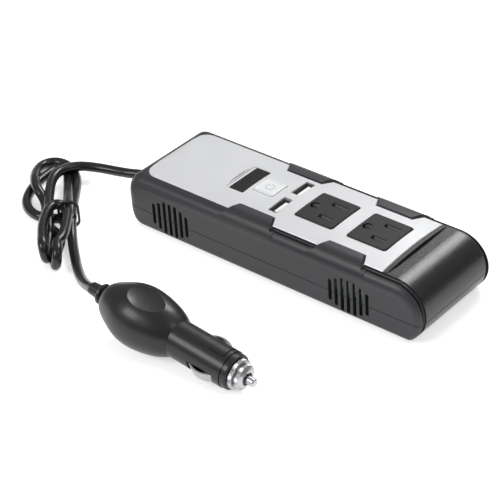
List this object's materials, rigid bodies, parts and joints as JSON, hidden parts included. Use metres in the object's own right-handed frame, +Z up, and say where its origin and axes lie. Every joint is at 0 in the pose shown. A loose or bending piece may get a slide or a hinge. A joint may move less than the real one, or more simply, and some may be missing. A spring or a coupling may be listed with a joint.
{
  "type": "power inverter",
  "caption": "Slim automotive power inverter with mains sockets, USB ports, display and vented sides, on a hanked cord with a 12 V vehicle plug.",
  "frame": {"origin": "under the middle of the case, on the surface its feet stand on", "axes": "+X along the case from the cord end to the rounded end cap, +Z up"},
  "size_m": [0.2889, 0.1614, 0.0358],
  "materials": {
    "shell_plastic": "fine matt",
    "armour_plastic": "fine matt",
    "face_silver": "satin silver",
    "socket_plastic": "satin",
    "button_plastic": "satin",
    "smoked_window": "gloss",
    "display_glass": "gloss",
    "port_steel": "plated",
    "port_plastic": "satin",
    "contact_brass": "plain",
    "board_laminate": "satin",
    "ferrite": "matt",
    "winding_copper": "enamelled",
    "can_aluminium": "sleeved",
    "sink_aluminium": "plain",
    "chip_plastic": "matt",
    "fan_plastic": "matt",
    "screw_steel": "zinc plated",
    "foot_rubber": "matt",
    "cord_pvc": "satin",
    "plug_plastic": "gloss",
    "chrome_plate": "polished",
    "bush_plastic": "matt",
    "fuse_glass": "clear with metal ends"
  },
  "bodies": {
    "case": {"upper_housing": "shell_plastic", "lower_housing": "shell_plastic", "armour_strip_near": "armour_plastic", "armour_strip_far": "armour_plastic", "rubber_feet": "foot_rubber", "case_screws": "screw_steel", "cord_gland": "cord_pvc", "face_plate": "face_silver", "display_window": "smoked_window", "display_module": "display_glass", "power_switch": "chip_plastic", "outlet_insert_1": "socket_plastic", "outlet_insert_2": "socket_plastic", "outlet_contacts_1": "contact_brass", "outlet_contacts_2": "contact_brass", "outlet_carrier_1": "socket_plastic", "outlet_carrier_2": "socket_plastic", "usb_shell_1": "port_steel", "usb_shell_2": "port_steel", "usb_tongue_1": "port_plastic", "usb_tongue_2": "port_plastic", "control_board": "board_laminate", "board_screws": "screw_steel", "main_board": "board_laminate", "main_board_screws": "screw_steel", "transformer_core": "ferrite", "transformer_winding": "winding_copper", "choke_coil": "winding_copper", "capacitors": "can_aluminium", "heat_sinks": "sink_aluminium", "power_transistors": "chip_plastic", "fan_frame": "fan_plastic", "plug_bulb_upper": "plug_plastic", "plug_bulb_lower": "plug_plastic", "plug_barrel": "plug_plastic", "plug_front_ring": "plug_plastic", "plug_tip_spring": "screw_steel", "plug_fuse": "fuse_glass", "plug_collar": "plug_plastic", "cord_lead": "cord_pvc", "cord_hank": "cord_pvc", "cord_tie": "cord_pvc", "cord_tail": "cord_pvc"},
    "button": {"power_button": "button_plastic", "switch_plunger": "port_plastic"},
    "fan": {"fan_rotor": "fan_plastic"},
    "contact_near": {"plug_contact_near": "chrome_plate"},
    "contact_far": {"plug_contact_far": "chrome_plate"},
    "cap": {"plug_tip_bush": "bush_plastic"},
    "nut": {"plug_nut": "chrome_plate"},
    "tip": {"plug_tip": "chrome_plate"}
  },
  "joints": [
    {"name": "button_press", "type": "slide", "parent": "case", "child": "button", "axis": [0, 0, -1], "range_m": [0, 0.0008], "stiffness_N_per_m": 400, "springref_m": -0.001},
    {"name": "fan_spin", "type": "hinge", "parent": "case", "child": "fan", "pos_m": [0.074, 0, 0.0166], "axis": [1, 0, 0], "continuous": true},
    {"name": "contact_near_press", "type": "slide", "parent": "case", "child": "contact_near", "axis": [0.0378, 0.9397, 0.3399], "range_m": [0, 0.0013], "stiffness_N_per_m": 800, "springref_m": -0.001},
    {"name": "contact_far_press", "type": "slide", "parent": "case", "child": "contact_far", "axis": [-0.0378, -0.9397, -0.3399], "range_m": [0, 0.0013], "stiffness_N_per_m": 800, "springref_m": -0.001},
    {"name": "cap_advance", "type": "slide", "parent": "case", "child": "cap", "axis": [0.9939, 0, -0.1106], "range_m": [0, 0.003]},
    {"name": "cap_turn", "type": "hinge", "parent": "cap", "child": "nut", "pos_m": [0.04883, -0.112, 0.00988], "axis": [0.9939, 0, -0.1106], "range_deg": [0, 1080]},
    {"name": "tip_press", "type": "slide", "parent": "cap", "child": "tip", "axis": [-0.9939, 0, 0.1106], "range_m": [0, 0.003], "stiffness_N_per_m": 300, "springref_m": -0.002}
  ],
  "couplings": [
    {"joint": "cap_turn", "follows": "cap_advance", "rad_per_m": 6283.2}
  ]
}
